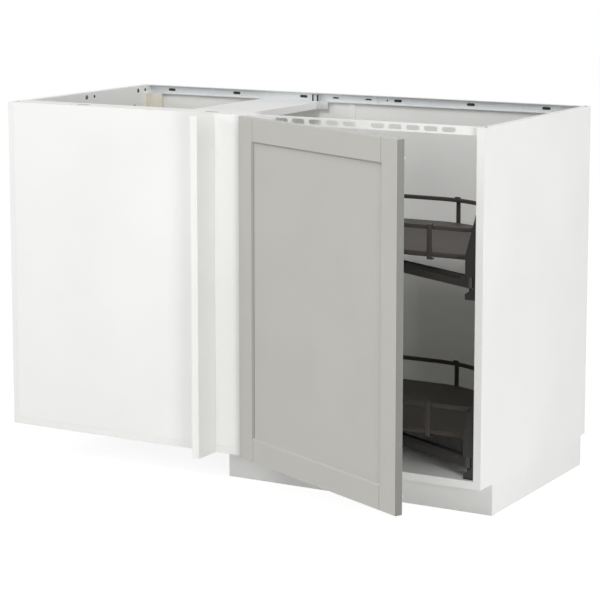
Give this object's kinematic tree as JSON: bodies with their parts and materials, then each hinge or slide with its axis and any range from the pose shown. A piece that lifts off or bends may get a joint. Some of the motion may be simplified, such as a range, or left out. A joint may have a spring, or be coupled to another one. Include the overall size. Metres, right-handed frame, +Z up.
{
  "type": "corner base cabinet",
  "caption": "White corner base cabinet with a closed blind side, a framed grey door standing ajar and kidney trays that swing out of the doorway.",
  "frame": {"origin": "middle of the floor under the whole object, door ajar as at rest", "axes": "+X to the right along the front, +Y from the front to the back, +Z up"},
  "size_m": [1.275, 0.875, 0.88],
  "materials": {
    "white_foil": "white melamine foil on particleboard, satin",
    "door_paint": "light warm grey foil, satin",
    "tray_board": "dark brown grey laminated board, satin",
    "tray_brown": "dark grey brown powder coat",
    "galvanised_steel": "galvanised sheet",
    "white_steel": "white powder coat",
    "raw_batten": "plain cut wood",
    "grey_nylon": "grey moulded plastic",
    "soft_bumper": "clear soft dot",
    "dark_plastic": "black moulded plastic",
    "nickel_steel": "nickel plated"
  },
  "bodies": {
    "cabinet": {"side_panel_left": "white_foil", "side_panel_right": "white_foil", "bottom_panel": "white_foil", "carcass_dowels": "raw_batten", "back_panel_left": "white_foil", "back_panel_right": "white_foil", "back_joint_strip": "white_foil", "corner_batten": "raw_batten", "blind_panel": "white_foil", "return_board": "white_foil", "hinge_stile": "white_foil", "hinge_post": "white_foil", "top_front_board": "white_foil", "top_plates": "grey_nylon", "top_plugs": "grey_nylon", "rail_end_clips": "dark_plastic", "crossbar": "white_foil", "crossbar_bracket": "galvanised_steel", "back_rail_left": "galvanised_steel", "back_rail_right": "galvanised_steel", "back_rail_joiner": "galvanised_steel", "vent_rail": "white_steel", "leg_sleeves": "dark_plastic", "plinth_front": "white_foil", "plinth_side": "white_foil", "plinth_clips_front": "dark_plastic", "plinth_clips_side": "dark_plastic", "hinge_arms": "nickel_steel", "hinge_plates": "nickel_steel", "cabinet_screws": "nickel_steel", "tray_bracket_lower": "tray_brown", "tray_bracket_upper": "tray_brown", "arm_pivot_pins": "nickel_steel"},
    "pins": {"hinge_pins": "nickel_steel"},
    "door": {"door_stile_hinge": "door_paint", "door_stile_free": "door_paint", "door_rail_top": "door_paint", "door_rail_bottom": "door_paint", "door_panel": "door_paint", "door_bumpers": "soft_bumper", "hinge_cups": "nickel_steel", "hinge_cup_screws": "nickel_steel"},
    "swing_arm_lower": {"arm_lower": "tray_brown", "hub_pin_lower": "nickel_steel"},
    "tray_lower": {"tray_floor_lower": "tray_board", "tray_guard_lower": "tray_brown", "tray_posts_lower": "tray_brown", "tray_hub_lower": "tray_brown"},
    "swing_arm_upper": {"arm_upper": "tray_brown", "hub_pin_upper": "nickel_steel"},
    "tray_upper": {"tray_floor_upper": "tray_board", "tray_guard_upper": "tray_brown", "tray_posts_upper": "tray_brown", "tray_hub_upper": "tray_brown"},
    "foot_rear_left_turning": {"foot_rear_left": "dark_plastic"},
    "foot_mid_left_turning": {"foot_mid_left": "dark_plastic"},
    "foot_rear_centre_turning": {"foot_rear_centre": "dark_plastic"},
    "foot_front_centre_turning": {"foot_front_centre": "dark_plastic"},
    "foot_rear_right_turning": {"foot_rear_right": "dark_plastic"},
    "foot_front_right_turning": {"foot_front_right": "dark_plastic"}
  },
  "joints": [
    {"name": "door_close", "type": "hinge", "parent": "cabinet", "child": "pins", "pos_m": [0.04, -0.17555, 0.48], "axis": [0, 0, -1], "range_deg": [-25.5, 0]},
    {"name": "door_open", "type": "hinge", "parent": "pins", "child": "door", "pos_m": [0.04, -0.17555, 0.48], "axis": [0, 0, -1], "range_deg": [0, 69.5]},
    {"name": "arm_swing_lower", "type": "hinge", "parent": "cabinet", "child": "swing_arm_lower", "pos_m": [0.5985, -0.14055, 0.1355], "axis": [0, 0, 1], "range_deg": [0, 83]},
    {"name": "tray_turn_lower", "type": "hinge", "parent": "swing_arm_lower", "child": "tray_lower", "pos_m": [0.2421, 0.04105, 0.178], "axis": [0, 0, 1], "range_deg": [-157, 0]},
    {"name": "arm_swing_upper", "type": "hinge", "parent": "cabinet", "child": "swing_arm_upper", "pos_m": [0.5985, -0.14055, 0.5385], "axis": [0, 0, 1], "range_deg": [0, 83]},
    {"name": "tray_turn_upper", "type": "hinge", "parent": "swing_arm_upper", "child": "tray_upper", "pos_m": [0.2421, 0.04105, 0.581], "axis": [0, 0, 1], "range_deg": [-157, 0]},
    {"name": "foot_turn_rear_left", "type": "hinge", "parent": "cabinet", "child": "foot_rear_left_turning", "pos_m": [-0.5675, 0.36745, 0.007], "axis": [0, 0, 1], "range_deg": [-180, 180]},
    {"name": "foot_turn_mid_left", "type": "hinge", "parent": "cabinet", "child": "foot_mid_left_turning", "pos_m": [-0.5675, 0.20225, 0.007], "axis": [0, 0, 1], "range_deg": [-180, 180]},
    {"name": "foot_turn_rear_centre", "type": "hinge", "parent": "cabinet", "child": "foot_rear_centre_turning", "pos_m": [-0.0175, 0.36745, 0.007], "axis": [0, 0, 1], "range_deg": [-180, 180]},
    {"name": "foot_turn_front_centre", "type": "hinge", "parent": "cabinet", "child": "foot_front_centre_turning", "pos_m": [-0.0175, -0.02755, 0.007], "axis": [0, 0, 1], "range_deg": [-180, 180]},
    {"name": "foot_turn_rear_right", "type": "hinge", "parent": "cabinet", "child": "foot_rear_right_turning", "pos_m": [0.5675, 0.36745, 0.007], "axis": [0, 0, 1], "range_deg": [-180, 180]},
    {"name": "foot_turn_front_right", "type": "hinge", "parent": "cabinet", "child": "foot_front_right_turning", "pos_m": [0.5675, -0.02755, 0.007], "axis": [0, 0, 1], "range_deg": [-180, 180]}
  ],
  "couplings": [
    {"joint": "arm_swing_lower", "follows": "door_open", "ratio": 1.1942},
    {"joint": "tray_turn_lower", "follows": "door_open", "ratio": -2.259},
    {"joint": "arm_swing_upper", "follows": "door_open", "ratio": 1.1942},
    {"joint": "tray_turn_upper", "follows": "door_open", "ratio": -2.259}
  ]
}
